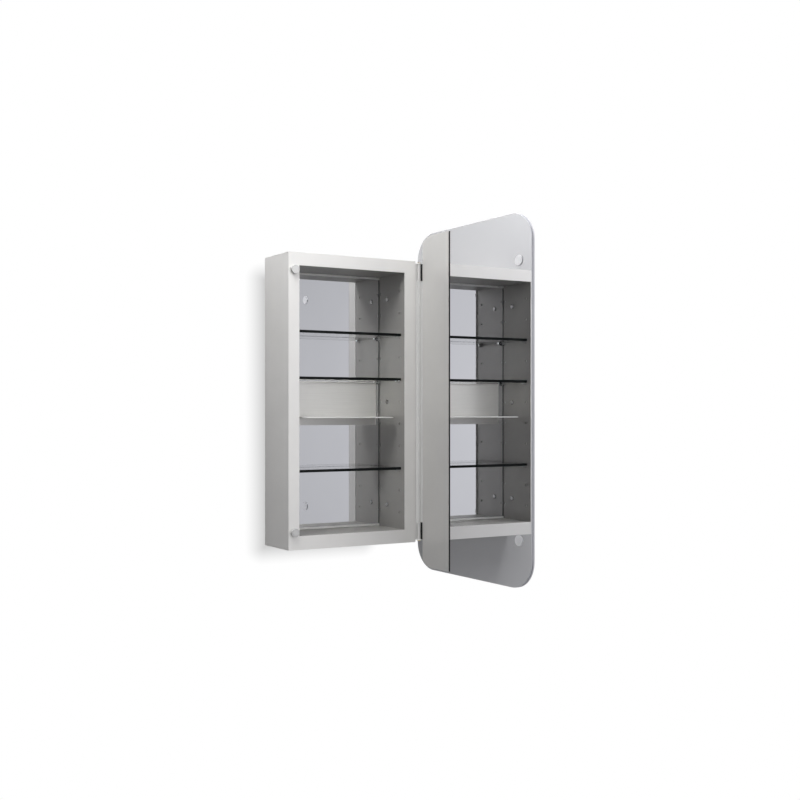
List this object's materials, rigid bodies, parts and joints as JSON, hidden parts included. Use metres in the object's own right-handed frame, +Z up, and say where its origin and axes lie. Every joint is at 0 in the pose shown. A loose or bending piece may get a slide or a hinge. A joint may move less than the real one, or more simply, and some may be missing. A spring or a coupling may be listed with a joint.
{
  "type": "medicine cabinet",
  "caption": "Wall-hung medicine cabinet with a side-hinged, round-cornered, double-sided mirror door, glass shelves, a metal organiser and a mirrored back.",
  "frame": {"origin": "centre of the cabinet's back, on the wall plane", "axes": "+Y into the wall, +Z up, the room and the open door on the -Y side"},
  "size_m": [0.3591, 0.472, 0.762],
  "materials": {
    "casing_aluminium": "satin anodised, warm grey",
    "liner_aluminium": "satin anodised, dark grey",
    "trim_aluminium": "satin anodised",
    "catch_aluminium": "turned, satin",
    "hinge_aluminium": "satin anodised extrusion",
    "cover_aluminium": "satin anodised sheet",
    "mirror_glass": "polished silvered glass with ground edges",
    "shelf_glass": "clear tempered glass with dark polished edges",
    "support_chrome": "polished",
    "strike_chrome": "satin plated",
    "cap_chrome": "satin plated",
    "organiser_steel": "brushed across its width",
    "magnet_sheet": "flexible magnetic sheet",
    "magnet_nickel": "nickel plated",
    "zinc_steel": "zinc plated",
    "brass": "polished",
    "white_nylon": "moulded"
  },
  "bodies": {
    "cabinet": {"back_mirror": "mirror_glass", "back_panel": "zinc_steel", "bolt_cap_left_lower": "cap_chrome", "bolt_cap_left_middle": "cap_chrome", "bolt_cap_left_upper": "cap_chrome", "bolt_cap_right_lower": "cap_chrome", "bolt_cap_right_middle": "cap_chrome", "bolt_cap_right_upper": "cap_chrome", "bottom_panel": "casing_aluminium", "front_frame": "casing_aluminium", "glass_shelf_lower": "shelf_glass", "glass_shelf_middle": "shelf_glass", "glass_shelf_upper": "shelf_glass", "hinge_frame_leaf": "hinge_aluminium", "hinge_pin_lower": "brass", "hinge_pin_upper": "brass", "hinge_washer_lower_inner": "white_nylon", "hinge_washer_lower_outer": "white_nylon", "hinge_washer_upper_inner": "white_nylon", "hinge_washer_upper_outer": "white_nylon", "liner_ceiling": "liner_aluminium", "liner_floor": "liner_aluminium", "liner_wall_left": "liner_aluminium", "liner_wall_right": "liner_aluminium", "magnet_cup_lower": "catch_aluminium", "magnet_cup_upper": "catch_aluminium", "magnet_disc_lower": "magnet_nickel", "magnet_disc_upper": "magnet_nickel", "magnet_nut_lower": "zinc_steel", "magnet_nut_upper": "zinc_steel", "mirror_retainer_bottom": "trim_aluminium", "mirror_retainer_top": "trim_aluminium", "organiser_backplate": "organiser_steel", "organiser_magnet_sheet": "magnet_sheet", "organiser_shelf": "organiser_steel", "shelf_support_lower_left_back": "support_chrome", "shelf_support_lower_left_front": "support_chrome", "shelf_support_lower_right_back": "support_chrome", "shelf_support_lower_right_front": "support_chrome", "shelf_support_middle_left_back": "support_chrome", "shelf_support_middle_left_front": "support_chrome", "shelf_support_middle_right_back": "support_chrome", "shelf_support_middle_right_front": "support_chrome", "shelf_support_upper_left_back": "support_chrome", "shelf_support_upper_left_front": "support_chrome", "shelf_support_upper_right_back": "support_chrome", "shelf_support_upper_right_front": "support_chrome", "side_panel_left": "casing_aluminium", "side_panel_right": "casing_aluminium", "top_panel": "casing_aluminium", "wall_rail_left": "zinc_steel", "wall_rail_right": "zinc_steel"},
    "door": {"hinge_door_leaf": "hinge_aluminium", "door_front_mirror": "mirror_glass", "door_backing_plate": "zinc_steel", "door_inner_mirror": "mirror_glass", "door_cover_strip": "cover_aluminium", "strike_plate_upper": "strike_chrome", "strike_plate_lower": "strike_chrome"}
  },
  "joints": [
    {"name": "door_hinge", "type": "hinge", "parent": "cabinet", "child": "door", "pos_m": [0.17535, -0.1085, 0], "axis": [0, 0, 1], "range_deg": [-90, 20]}
  ]
}
